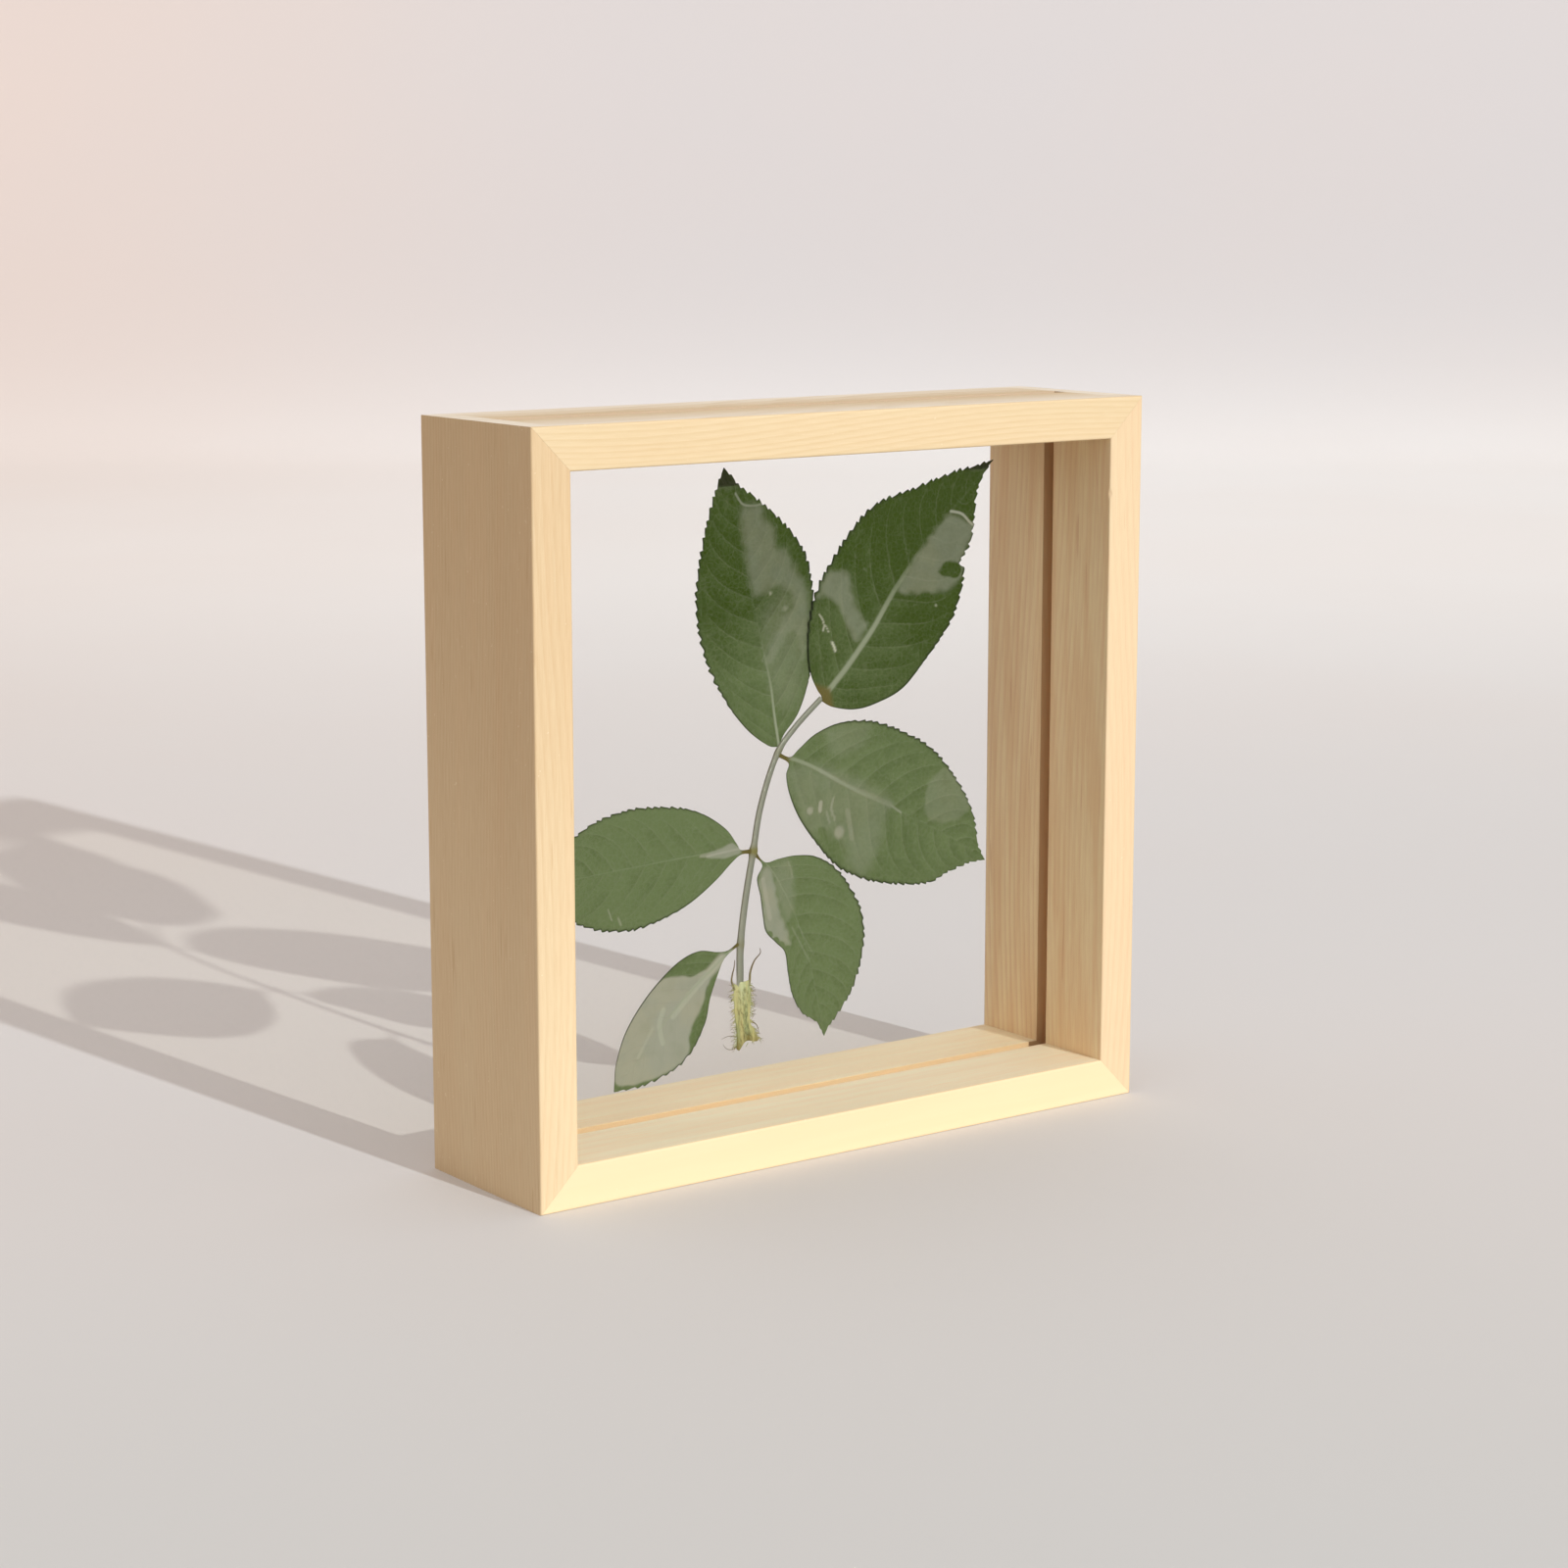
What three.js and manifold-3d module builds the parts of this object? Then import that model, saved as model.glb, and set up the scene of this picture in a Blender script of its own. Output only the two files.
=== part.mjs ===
// A pressed rose leaf between two panes of glass, in a square pine frame that stands on its bottom rail.
// Millimetres, with X to the right along the front, the front facing -Y and Z up.
// The origin is on the ground, under the middle of the frame.

import * as THREE from 'three';
import { mergeVertices } from 'three/addons/utils/BufferGeometryUtils.js';
import Module from 'manifold-3d';

const wasm = await Module();
wasm.setup();

// Pine frame
const frameSize = 150; // outside width and height
const frameDepth = 40;
const railWidth = 8.6; // width of a rail as seen from the front
const edgeEase = 0.8; // bevel along every long edge
const grooveWidth = 3.6; // groove that holds the glass, in the middle of every rail
const grooveDepth = 3.2;
const mitreGap = 0.03; // hairline between two glued mitres

// Glass
const paneThickness = 1.2;
const paneSpacing = 0.9; // room for the leaf between the two panes
const paneSideClearance = 0.3;
const paneFloorClearance = 0.1;
const paneBelowTop = 0.5; // how far the top edge of the glass lies under the top of the frame

// Pressed leaf
const leafThickness = 0.28;
const layerGap = 0.28; // between leaflets pressed against the front pane and against the back pane
const toothPitch = 2.1;
const toothDepth = 0.5;
const toothLean = 0.7; // a tooth's peak, as a share of its pitch, towards the leaflet's tip
const rachisThickness = 0.8;
const rachisEase = 0.2;
const stipuleThickness = 0.6;
const hairPitch = 1.5;
const hairWidth = 0.5;
const hairLength = 1.7;

// Each leaflet is given by points on its two margins, [x, z] in the plane of the glass.
// Left and right are as seen from the front, going from the base to the tip.
// The first point of both margins lies on the short stalk, which is stalkWidth across at the base.
// plain is how far the left and the right margin go without teeth.
const leaflets = [
  {
    name: 'leaflet_upper_left', layer: 'back', base: [-5, 81.7], stalkWidth: 0.8, plain: [18, 18],
    left: [[-7.2, 81.6], [-12.3, 85.3], [-17.5, 91.5], [-22, 99.5], [-24.3, 108], [-24.3, 116], [-22.3, 126],
      [-20, 133]],
    right: [[-3, 83.5], [0.5, 87.5], [3, 93.5], [4.5, 101], [4.3, 110], [2.8, 118.5], [-1.2, 124.5], [-7.5, 130],
      [-14, 134.5]],
    tip: [-17.8, 138.4],
  },
  {
    name: 'leaflet_upper_right', layer: 'front', base: [6.7, 90.5], stalkWidth: 1.1, plain: [16, 36],
    left: [[5, 92], [3.2, 96], [2.7, 102], [3.5, 108], [5.5, 113.5], [10, 119.8], [15, 125.3], [20.5, 129.2],
      [30, 131.7], [40, 134.4], [47, 135.6]],
    right: [[9, 88], [14.5, 87], [20, 87.7], [27, 90.2], [33, 95.7], [38.8, 102], [41.8, 107.5], [43.2, 113.6],
      [41.8, 115.3], [44.4, 118.8], [45.8, 124], [46.3, 129.5], [48.6, 134.2]],
    tip: [51, 136.6],
  },
  {
    name: 'leaflet_middle_right', layer: 'front', base: [-3.8, 79.1], stalkWidth: 0.9, plain: [22, 26],
    left: [[-1.8, 78.7], [0.5, 80.2], [5, 83], [11.5, 84.6], [20, 83.9], [29.5, 80.1], [36, 76], [41.8, 69.5],
      [45.8, 63], [47.3, 57.7], [47.8, 54.6]],
    right: [[-2.2, 77.4], [-2.8, 75], [-2, 71], [0.5, 65.8], [4.5, 60.5], [10, 54.8], [17, 51.2], [25, 49.1],
      [34, 48.2], [40, 50], [45.5, 51.2]],
    tip: [49.8, 51.2],
  },
  {
    name: 'leaflet_middle_left', layer: 'front', base: [-12.2, 60.4], stalkWidth: 0.95, plain: [26, 20],
    left: [[-14.2, 59.9], [-16.5, 58.5], [-20.5, 55.3], [-26.5, 51.6], [-32.5, 49.3], [-40, 47.8], [-47, 48.4],
      [-53, 50.4], [-60, 54.6]],
    right: [[-14.2, 60.9], [-15.2, 62.2], [-18, 65.7], [-23.5, 69.3], [-30, 71.3], [-40, 72.1], [-48, 70.8],
      [-53, 68.6], [-60, 63.8]],
    tip: [-65.4, 58.8],
  },
  {
    name: 'leaflet_lower_right', layer: 'back', base: [-9.8, 59.2], stalkWidth: 0.95, plain: [22, 40],
    left: [[-7.9, 57.4], [-4.5, 57.8], [0, 58], [5, 57.2], [10, 54.3], [13.7, 50], [16.8, 44.5], [17.6, 39],
      [16.6, 33], [14.3, 27.5], [11, 23.4], [8.5, 20.8]],
    right: [[-8.5, 57], [-9.8, 54.3], [-9, 50.5], [-8.4, 46.5], [-7.6, 43], [-5, 40.3], [-2.8, 38], [-2, 33.5],
      [-0.8, 28.5], [1.7, 24.6], [5.5, 22]],
    tip: [7.3, 18.8],
  },
  {
    name: 'leaflet_lower_left', layer: 'front', base: [-15.5, 41.2], stalkWidth: 0.7, plain: [24, 90],
    left: [[-17.4, 39.7], [-19.2, 37.5], [-21.8, 31.5], [-23, 26.7], [-25.5, 22.2], [-28.7, 18.9], [-33, 16.9],
      [-38.5, 15.6], [-42.5, 15.4]],
    right: [[-17.4, 40.5], [-20, 40.5], [-24.7, 41.3], [-29.5, 39.8], [-35, 35.9], [-39.5, 31.3], [-42.8, 26.5],
      [-44.8, 21], [-45.2, 18]],
    tip: [-45.4, 15.3],
  },
];

// Stem that carries the leaflets, from the foot of the leaf to its last leaflet
const rachis = {
  line: [[-14.3, 34], [-14.2, 41], [-13, 50], [-11, 60], [-9, 69.5], [-5.1, 79.3], [-0.5, 84.6], [6, 89.8]],
  footWidth: 1.7,
  endWidth: 1.2,
  steps: 36,
};

// Fringed stipules at the foot, from their notch beside the stem round each side to the torn bottom edge.
// Two torn strands curl out of the left side near the foot.
const stipules = {
  topNotch: [[-15.2, 33.2], [-14.3, 33.5], [-13.3, 33.2]],
  rightBarb: [[-12.4, 33.4], [-11.9, 35.4], [-10.9, 37.5], [-9.4, 38.9], [-9.35, 39.8], [-9.0, 38.7], [-10.5, 37.3],
    [-11.4, 35.2]],
  rightSide: [[-11.6, 33.4], [-11.5, 29], [-11.8, 25], [-10.7, 22.6], [-9.8, 21.1]],
  tornEdge: [[-9.9, 20.4], [-11.2, 20.6], [-12.4, 20.8], [-13.3, 20.5], [-14.5, 19.1], [-15.2, 19.4]],
  lowerStrand: [[-16.8, 19.5], [-18, 20.1], [-18.6, 21], [-17.8, 20.3], [-16.8, 19.8], [-15.2, 20]],
  upperStrand: [[-15.2, 22], [-17.2, 22.4], [-19, 22.1], [-17.2, 22.6], [-15.2, 22.3]],
  leftSide: [[-15.3, 23], [-15.7, 27], [-15.8, 29], [-15.9, 31], [-16.1, 32.6]],
  leftBarb: [[-16.7, 33.9], [-16.4, 35.3], [-16, 36.7], [-15.6, 38.2], [-15.6, 36.6], [-15.9, 35.2], [-16, 34]],
};

const pine = new THREE.MeshStandardMaterial({ color: '#e9d0a2', roughness: 0.6, metalness: 0 });
const glass = new THREE.MeshStandardMaterial({
  color: '#e8efe9', roughness: 0.05, metalness: 0, transparent: true, opacity: 0.3,
});
const leafGreen = new THREE.MeshStandardMaterial({ color: '#4f6b35', roughness: 0.55, metalness: 0 });
const stemGreen = new THREE.MeshStandardMaterial({ color: '#9b9e7f', roughness: 0.7, metalness: 0 });
const stipuleGreen = new THREE.MeshStandardMaterial({ color: '#b9b364', roughness: 0.7, metalness: 0 });

function toSolid(geometry) {
  const bare = geometry.clone();
  bare.deleteAttribute('normal');
  bare.deleteAttribute('uv');
  const merged = mergeVertices(bare);
  const vertProperties = new Float32Array(merged.attributes.position.array);
  const triVerts = new Uint32Array(merged.index.array);
  return new wasm.Manifold(new wasm.Mesh({ numProp: 3, vertProperties, triVerts }));
}

function toGeometry(solid) {
  const mesh = solid.getMesh();
  const geometry = new THREE.BufferGeometry();
  geometry.setAttribute('position', new THREE.BufferAttribute(mesh.vertProperties, 3));
  geometry.setIndex(new THREE.BufferAttribute(mesh.triVerts, 1));
  geometry.computeVertexNormals();
  return geometry;
}

function toVectors(points) {
  return points.map(([x, z]) => new THREE.Vector2(x, z));
}

// Stands a shape drawn in X and Y upright in the plane of the glass, and gives it its thickness.
function standUpright(outline, settings) {
  const geometry = new THREE.ExtrudeGeometry(new THREE.Shape(outline), settings);
  geometry.rotateX(Math.PI / 2);
  geometry.computeBoundingBox();
  const { min, max } = geometry.boundingBox;
  geometry.translate(0, -(min.y + max.y) / 2, 0);
  return geometry;
}

// A bottom rail round the frame's centre: its grooved section, carried along X to a mitre at each end.
function makeRail() {
  const halfDepth = frameDepth / 2;
  const halfGroove = grooveWidth / 2;
  const grooveFloor = railWidth - grooveDepth;
  const section = new THREE.Shape(toVectors([
    [edgeEase - halfDepth, 0],
    [halfDepth - edgeEase, 0],
    [halfDepth, edgeEase],
    [halfDepth, railWidth - edgeEase],
    [halfDepth - edgeEase, railWidth],
    [halfGroove, railWidth],
    [halfGroove, grooveFloor],
    [-halfGroove, grooveFloor],
    [-halfGroove, railWidth],
    [edgeEase - halfDepth, railWidth],
    [-halfDepth, railWidth - edgeEase],
    [-halfDepth, edgeEase],
  ]));
  const geometry = new THREE.ExtrudeGeometry(section, { depth: frameSize, bevelEnabled: false });
  const position = geometry.attributes.position;
  for (let i = 0; i < position.count; i += 1) {
    const acrossDepth = position.getX(i);
    const fromOutside = position.getY(i);
    const end = position.getZ(i) > frameSize / 2 ? 1 : -1;
    const along = end * (frameSize / 2 - fromOutside - mitreGap / 2);
    position.setXYZ(i, along, acrossDepth, fromOutside - frameSize / 2);
  }
  geometry.computeVertexNormals();
  return geometry;
}

// The slot that lets the glass in goes from the top rail's outer face into its groove.
function makeSlottedRail() {
  const slotLength = frameSize - 2 * (railWidth - grooveDepth);
  const slotHeight = 2 * railWidth;
  const cutter = new THREE.BoxGeometry(slotLength, grooveWidth, slotHeight);
  cutter.translate(0, 0, -frameSize / 2);
  return toGeometry(toSolid(makeRail()).subtract(toSolid(cutter)));
}

function makePane() {
  const grooveFloor = railWidth - grooveDepth;
  const width = frameSize - 2 * grooveFloor - 2 * paneSideClearance;
  const bottom = grooveFloor + paneFloorClearance;
  const height = frameSize - paneBelowTop - bottom;
  const geometry = new THREE.BoxGeometry(width, paneThickness, height);
  geometry.translate(0, 0, bottom + height / 2);
  return geometry;
}

// Points from base to tip along one margin. Past the plain part, every pitch but the last has a tooth.
function toothedMargin(points, side, plain) {
  const curve = new THREE.SplineCurve(points);
  const length = curve.getLength();
  const count = Math.round(length / toothPitch);
  const margin = [];
  for (let i = 0; i < count; i += 1) {
    margin.push(curve.getPointAt(i / count));
    const peak = (i + toothLean) / count;
    if (peak * length > plain && i < count - 1) {
      const along = curve.getTangentAt(peak);
      const outward = new THREE.Vector2(-along.y, along.x).multiplyScalar(side * toothDepth);
      margin.push(curve.getPointAt(peak).add(outward));
    }
  }
  return margin;
}

function makeLeaflet(leaflet) {
  const [base, tip] = toVectors([leaflet.base, leaflet.tip]);
  const left = toVectors(leaflet.left);
  const right = toVectors(leaflet.right);
  const bladeStart = left[0].clone().add(right[0]).divideScalar(2);
  const along = bladeStart.sub(base).normalize();
  const halfStalk = new THREE.Vector2(-along.y, along.x).multiplyScalar(leaflet.stalkWidth / 2);
  const leftMargin = toothedMargin([base.clone().add(halfStalk), ...left, tip], 1, leaflet.plain[0]);
  const rightMargin = toothedMargin([base.clone().sub(halfStalk), ...right, tip], -1, leaflet.plain[1]);
  const outline = [...leftMargin, tip, ...rightMargin.reverse()];
  return standUpright(outline, { depth: leafThickness, bevelEnabled: false });
}

function makeRachis() {
  const curve = new THREE.SplineCurve(toVectors(rachis.line));
  const left = [];
  const right = [];
  for (let i = 0; i <= rachis.steps; i += 1) {
    const share = i / rachis.steps;
    const centre = curve.getPointAt(share);
    const along = curve.getTangentAt(share);
    const halfWidth = THREE.MathUtils.lerp(rachis.footWidth, rachis.endWidth, share) / 2;
    const offset = new THREE.Vector2(-along.y, along.x).multiplyScalar(halfWidth);
    left.push(centre.clone().add(offset));
    right.push(centre.clone().sub(offset));
  }
  return standUpright([...left, ...right.reverse()], {
    depth: rachisThickness - 2 * rachisEase,
    bevelEnabled: true,
    bevelThickness: rachisEase,
    bevelSize: rachisEase,
    bevelOffset: -rachisEase,
    bevelSegments: 1,
  });
}

// A side of the stipules with its hairs: each is a narrow spike that leans to the foot of the leaf.
function hairySide(points, outwardX) {
  const curve = new THREE.SplineCurve(toVectors(points));
  const length = curve.getLength();
  const count = Math.round(length / hairPitch);
  const side = [];
  for (let i = 0; i < count; i += 1) {
    const middle = (i + 0.5) / count;
    const halfRoot = hairWidth / 2 / length;
    const hairTip = curve.getPointAt(middle);
    hairTip.x += outwardX * hairLength;
    hairTip.y -= hairWidth;
    side.push(curve.getPointAt(middle - halfRoot), hairTip, curve.getPointAt(middle + halfRoot));
  }
  return side;
}

function makeStipules() {
  const outline = [
    ...toVectors(stipules.topNotch),
    ...toVectors(stipules.rightBarb),
    ...hairySide(stipules.rightSide, 1),
    ...toVectors(stipules.tornEdge),
    ...toVectors(stipules.lowerStrand),
    ...toVectors(stipules.upperStrand),
    ...hairySide(stipules.leftSide, -1),
    ...toVectors(stipules.leftBarb),
  ];
  return standUpright(outline, { depth: stipuleThickness, bevelEnabled: false });
}

function addMesh(parent, name, geometry, material) {
  const mesh = new THREE.Mesh(geometry, material);
  mesh.name = name;
  parent.add(mesh);
  return mesh;
}

const frame = new THREE.Group();
frame.position.z = frameSize / 2;
addMesh(frame, 'bottom_rail', makeRail(), pine);
addMesh(frame, 'left_stile', makeRail(), pine).rotation.y = Math.PI / 2;
addMesh(frame, 'right_stile', makeRail(), pine).rotation.y = -Math.PI / 2;
addMesh(frame, 'top_rail', makeSlottedRail(), pine).rotation.y = Math.PI;

const glazing = new THREE.Group();
const paneOffset = (paneSpacing + paneThickness) / 2;
addMesh(glazing, 'front_pane', makePane(), glass).position.y = -paneOffset;
addMesh(glazing, 'back_pane', makePane(), glass).position.y = paneOffset;

const layerOffset = (layerGap + leafThickness) / 2;
for (const leaflet of leaflets) {
  const mesh = addMesh(glazing, leaflet.name, makeLeaflet(leaflet), leafGreen);
  mesh.position.y = leaflet.layer === 'front' ? -layerOffset : layerOffset;
}
addMesh(glazing, 'rachis', makeRachis(), stemGreen);
addMesh(glazing, 'stipules', makeStipules(), stipuleGreen);

const pressedLeafFrame = new THREE.Group();
pressedLeafFrame.add(frame, glazing);

export default pressedLeafFrame;
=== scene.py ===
import math

import bpy
import numpy as np
from mathutils import Matrix, Vector


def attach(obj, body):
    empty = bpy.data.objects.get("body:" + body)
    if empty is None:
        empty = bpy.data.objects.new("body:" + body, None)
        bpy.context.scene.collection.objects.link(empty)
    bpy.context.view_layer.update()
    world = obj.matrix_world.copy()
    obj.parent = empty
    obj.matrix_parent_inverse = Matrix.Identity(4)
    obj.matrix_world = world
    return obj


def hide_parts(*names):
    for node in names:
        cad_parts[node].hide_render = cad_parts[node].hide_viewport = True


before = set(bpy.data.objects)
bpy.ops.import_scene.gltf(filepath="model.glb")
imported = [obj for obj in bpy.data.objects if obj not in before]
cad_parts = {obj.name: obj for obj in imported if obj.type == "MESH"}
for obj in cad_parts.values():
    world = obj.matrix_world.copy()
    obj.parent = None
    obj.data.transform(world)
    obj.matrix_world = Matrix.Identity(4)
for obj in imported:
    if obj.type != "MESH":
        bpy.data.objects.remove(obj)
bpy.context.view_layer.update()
scene = bpy.context.scene
mm = 0.001
print("frame loaded")


# Camera, floor and light

view = {
    "azimuth": -36.22,
    "elevation": 10.17,
    "distance": 699.2 * mm,
    "aim": (-2.17 * mm, 1.13 * mm, 72.93 * mm),
    "lens": 78.66,
}

studio = {
    "floorColour": (223, 221, 219),
    "frontColour": (199, 204, 202),
    "farColour": (246, 244, 241),
    "wallColour": (203, 197, 195),
    "warmColour": (226, 198, 180),
    "floorFront": 0.62,
    "floorBack": 1.6,
    "floorSide": 2.6,
    "sweepRadius": 0.7,
    "polariser": 0.55,
    "wallHeight": 1.6,
    "keyTurn": 6.0,
    "keyHeight": 19.0,
    "keyStrength": 2.8,
    "keyColour": (240, 248, 254),
    "keySoftness": 0.8,
    "skyColour": (254, 246, 242),
    "skyStrength": 0.73,
    "lowColour": (120, 112, 106),
}


def directionTo(azimuth, elevation):
    # Unit vector from the object towards an azimuth and a height, azimuth 0 being straight in front of it.
    a, e = math.radians(azimuth), math.radians(elevation)
    return Vector((math.sin(a) * math.cos(e), -math.cos(a) * math.cos(e), math.sin(e)))


def linear(colour):
    # An 8-bit colour as the linear values that shaders take.
    share = np.array(colour, float) / 255
    low = share / 12.92
    high = ((share + 0.055) / 1.055) ** 2.4
    return (*np.where(share <= 0.04045, low, high).tolist(), 1.0)


def makeCamera():
    back = directionTo(view["azimuth"], view["elevation"])
    data = bpy.data.cameras.new("camera")
    data.lens = view["lens"]
    data.clip_start = 0.05
    data.clip_end = 20
    camera = bpy.data.objects.new("camera", data)
    camera.location = Vector(view["aim"]) + back * view["distance"]
    camera.rotation_euler = back.to_track_quat("Z", "Y").to_euler()
    scene.collection.objects.link(camera)
    scene.camera = camera


makeCamera()
scene.view_settings.view_transform = "Standard"
print("camera placed")


# Meshes from arrays

def gridFaces(rows, columns, closed=False):
    # Quads between neighbouring rows of a grid, the last column joined to the first where it is closed.
    across = columns if closed else columns - 1
    row, column = np.meshgrid(np.arange(rows - 1), np.arange(across), indexing="ij")
    near = row * columns + column
    nearNext = row * columns + (column + 1) % columns
    quads = np.stack([near, nearNext, nearNext + columns, near + columns], axis=-1)
    return quads.reshape(-1, 4).tolist()


def tubeFaces(rows, columns):
    # Quads round a tube, with one face across each end.
    faces = gridFaces(rows, columns, closed=True)
    faces.append(list(range(columns - 1, -1, -1)))
    faces.append([(rows - 1) * columns + k for k in range(columns)])
    return faces


def sheet(plane, middle, half):
    # A sheet with a front and a back, as a flat tube whose two ends quads close: its grid of points x, z in
    # millimetres, how deep the middle of its thickness lies, and half its thickness.
    x, z = plane[..., 0] * mm, plane[..., 1] * mm
    front = np.stack([x, middle - half, z], axis=-1)
    behind = np.stack([x, middle + half, z], axis=-1)
    points = np.concatenate([front, behind[:, ::-1]], axis=1)
    rows, columns = points.shape[:2]
    k = np.arange(columns // 2 - 1)
    start = np.stack([columns - 1 - k, columns - 2 - k, k + 1, k], axis=-1)
    end = start[:, ::-1] + (rows - 1) * columns
    return points, gridFaces(rows, columns, closed=True) + start.tolist() + end.tolist()


def makePiece(name, points, faces, material, values=None, smooth=True):
    # A mesh object at the origin. values holds one number for each point under each attribute's name.
    mesh = bpy.data.meshes.new(name)
    mesh.from_pydata(np.asarray(points, float).reshape(-1, 3).tolist(), [], faces)
    for key, numbers in (values or {}).items():
        attribute = mesh.attributes.new(key, "FLOAT", "POINT")
        attribute.data.foreach_set("value", np.asarray(numbers, np.float32).ravel())
    mesh.polygons.foreach_set("use_smooth", np.full(len(mesh.polygons), smooth))
    mesh.materials.append(material)
    mesh.update()
    piece = bpy.data.objects.new(name, mesh)
    scene.collection.objects.link(piece)
    return piece


def alongSpline(points, shares):
    # Uniform Catmull-Rom curve through points x, z, read at shares of its length.
    knots = np.reshape(points, (-1, 2)).astype(float)
    padded = np.vstack([knots[:1], knots, knots[-1:]])
    spans = len(knots) - 1
    place = np.linspace(0, spans, 60 * spans + 1)
    span = np.minimum(place.astype(int), spans - 1)
    t = (place - span)[:, None]
    a, b, c, d = (padded[span + k] for k in range(4))
    bend, twist = 2 * a - 5 * b + 4 * c - d, 3 * b - a - 3 * c + d
    dense = 0.5 * (2 * b + (c - a) * t + bend * t**2 + twist * t**3)
    steps = np.linalg.norm(np.diff(dense, axis=0), axis=1)
    length = np.concatenate([[0], np.cumsum(steps)])
    wanted = np.asarray(shares) * length[-1]
    return np.stack([np.interp(wanted, length, dense[:, k]) for k in range(2)], axis=-1)


def unit(vectors):
    return vectors / np.maximum(np.linalg.norm(vectors, axis=-1, keepdims=True), 1e-12)


def ramp(values, low, high):
    # 0 below low, 1 above high, with a soft step between.
    t = np.clip((values - low) / (high - low), 0, 1)
    return t * t * (3 - 2 * t)


# Shader maths

class Shade:
    # One output socket. Sums, differences and products of these add Math nodes.
    def __init__(self, socket):
        self.socket = socket

    def node(self, kind, settings, inputs, output=0):
        tree = self.socket.id_data
        made = tree.nodes.new(kind)
        for name, value in settings.items():
            setattr(made, name, value)
        for name, value in inputs.items():
            if isinstance(value, Shade):
                tree.links.new(value.socket, made.inputs[name])
            else:
                made.inputs[name].default_value = value
        return Shade(made.outputs[output])

    def output(self, name):
        return Shade(self.socket.node.outputs[name])

    def math(self, operation, *others):
        return self.node("ShaderNodeMath", {"operation": operation}, dict(enumerate((self, *others))))

    def __add__(self, other):
        return self.math("ADD", other)

    __radd__ = __add__

    def __sub__(self, other):
        return self.math("SUBTRACT", other)

    def __rsub__(self, other):
        return self.node("ShaderNodeMath", {"operation": "SUBTRACT"}, {0: other, 1: self})

    def __mul__(self, other):
        return self.math("MULTIPLY", other)

    __rmul__ = __mul__

    def __truediv__(self, other):
        return self.math("DIVIDE", other)

    def __pow__(self, other):
        return self.math("POWER", other)

    def limit(self):
        return self.node("ShaderNodeMath", {"operation": "ADD", "use_clamp": True}, {0: self, 1: 0.0})

    def step(self, low, high):
        settings = {"interpolation_type": "SMOOTHSTEP"}
        return self.node("ShaderNodeMapRange", settings, {"Value": self, "From Min": low, "From Max": high})

    def mix(self, first, second):
        # From the first colour to the second as this value goes from 0 to 1.
        settings = {"data_type": "RGBA", "clamp_factor": True}
        return self.node("ShaderNodeMix", settings, {0: self, 6: first, 7: second}, output=2)

    def parts(self):
        split = self.node("ShaderNodeSeparateXYZ", {}, {0: self})
        return split, split.output("Y"), split.output("Z")

    def noise(self, scale, detail=3.0, roughness=0.5, stretch=(1, 1, 1), shift=(0, 0, 0)):
        # Noise in this vector's space, in features per metre. A small stretch draws it out along that axis.
        placed = self.node("ShaderNodeMapping", {}, {"Vector": self, "Scale": stretch, "Location": shift})
        inputs = {"Vector": placed, "Scale": scale, "Detail": detail, "Roughness": roughness}
        return self.node("ShaderNodeTexNoise", {}, inputs)


def startMaterial(name):
    # An empty material with its output node, and the piece's own coordinates to build on.
    material = bpy.data.materials.new(name)
    material.use_nodes = True
    tree = material.node_tree
    tree.nodes.clear()
    tree.nodes.new("ShaderNodeOutputMaterial")
    coordinates = tree.nodes.new("ShaderNodeTexCoord")
    return material, Shade(coordinates.outputs["Object"])


def attribute(start, name):
    return start.node("ShaderNodeAttribute", {"attribute_name": name}, {}, output="Fac")


def coated(place, colour, roughness, specular, relief, strength, distance):
    # A Principled shader whose surface rises with the relief.
    bump = place.node("ShaderNodeBump", {}, {"Strength": strength, "Distance": distance, "Height": relief})
    return place.node("ShaderNodeBsdfPrincipled", {}, {
        "Base Color": colour, "Roughness": roughness, "Specular IOR Level": specular, "Normal": bump})


def finishMaterial(material, shader, volume=None):
    tree = material.node_tree
    end = next(node for node in tree.nodes if node.type == "OUTPUT_MATERIAL")
    tree.links.new(shader.socket, end.inputs["Surface"])
    if volume:
        tree.links.new(volume.socket, end.inputs["Volume"])
    return material


# Floor and light

def floorMaterial():
    # Pale and a little cloudy. Light is painted on it: paler far back, greyer towards the camera, and warmer
    # and dimmer on the left. The wall that it turns up into is darker, as it faces the light.
    material, place = startMaterial("paleFloor")
    x, y, z = place.parts()
    turn = math.radians(view["azimuth"])
    nearer = x * math.sin(turn) - y * math.cos(turn)
    leftward = x * -math.cos(turn) - y * math.sin(turn)
    cloud = place.noise(2.2, detail=4).step(0.35, 0.65)
    front, middle, far, wall, warm = (linear(studio[key + "Colour"]) for key in (
        "front", "floor", "far", "wall", "warm"))
    # painted fall of light: paler far back, greyer and darker towards the camera
    ground = nearer.step(-1.15, -0.2).mix(far, (nearer.step(-0.05, 0.35) * 0.6).mix(middle, front))
    seen = (1 - (z * -20).math("EXPONENT")).mix(ground, wall)
    # a little cloud, and painted warm, dim light towards the left
    cloudAndWarmLight = (cloud * 0.06 + leftward.step(-0.1, 0.9) * 0.45).mix(seen, warm)
    # reflections of the floor in the glass are held back, as a polarising filter does
    mirrored = place.node("ShaderNodeLightPath", {}, {}, output="Glossy Depth").limit()
    shader = place.node("ShaderNodeBsdfPrincipled", {}, {
        "Base Color": (mirrored * studio["polariser"]).mix(cloudAndWarmLight, (0, 0, 0, 1)),
        "Roughness": 0.75,
        "Specular IOR Level": 0.25,
    })
    return finishMaterial(material, shader)


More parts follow.
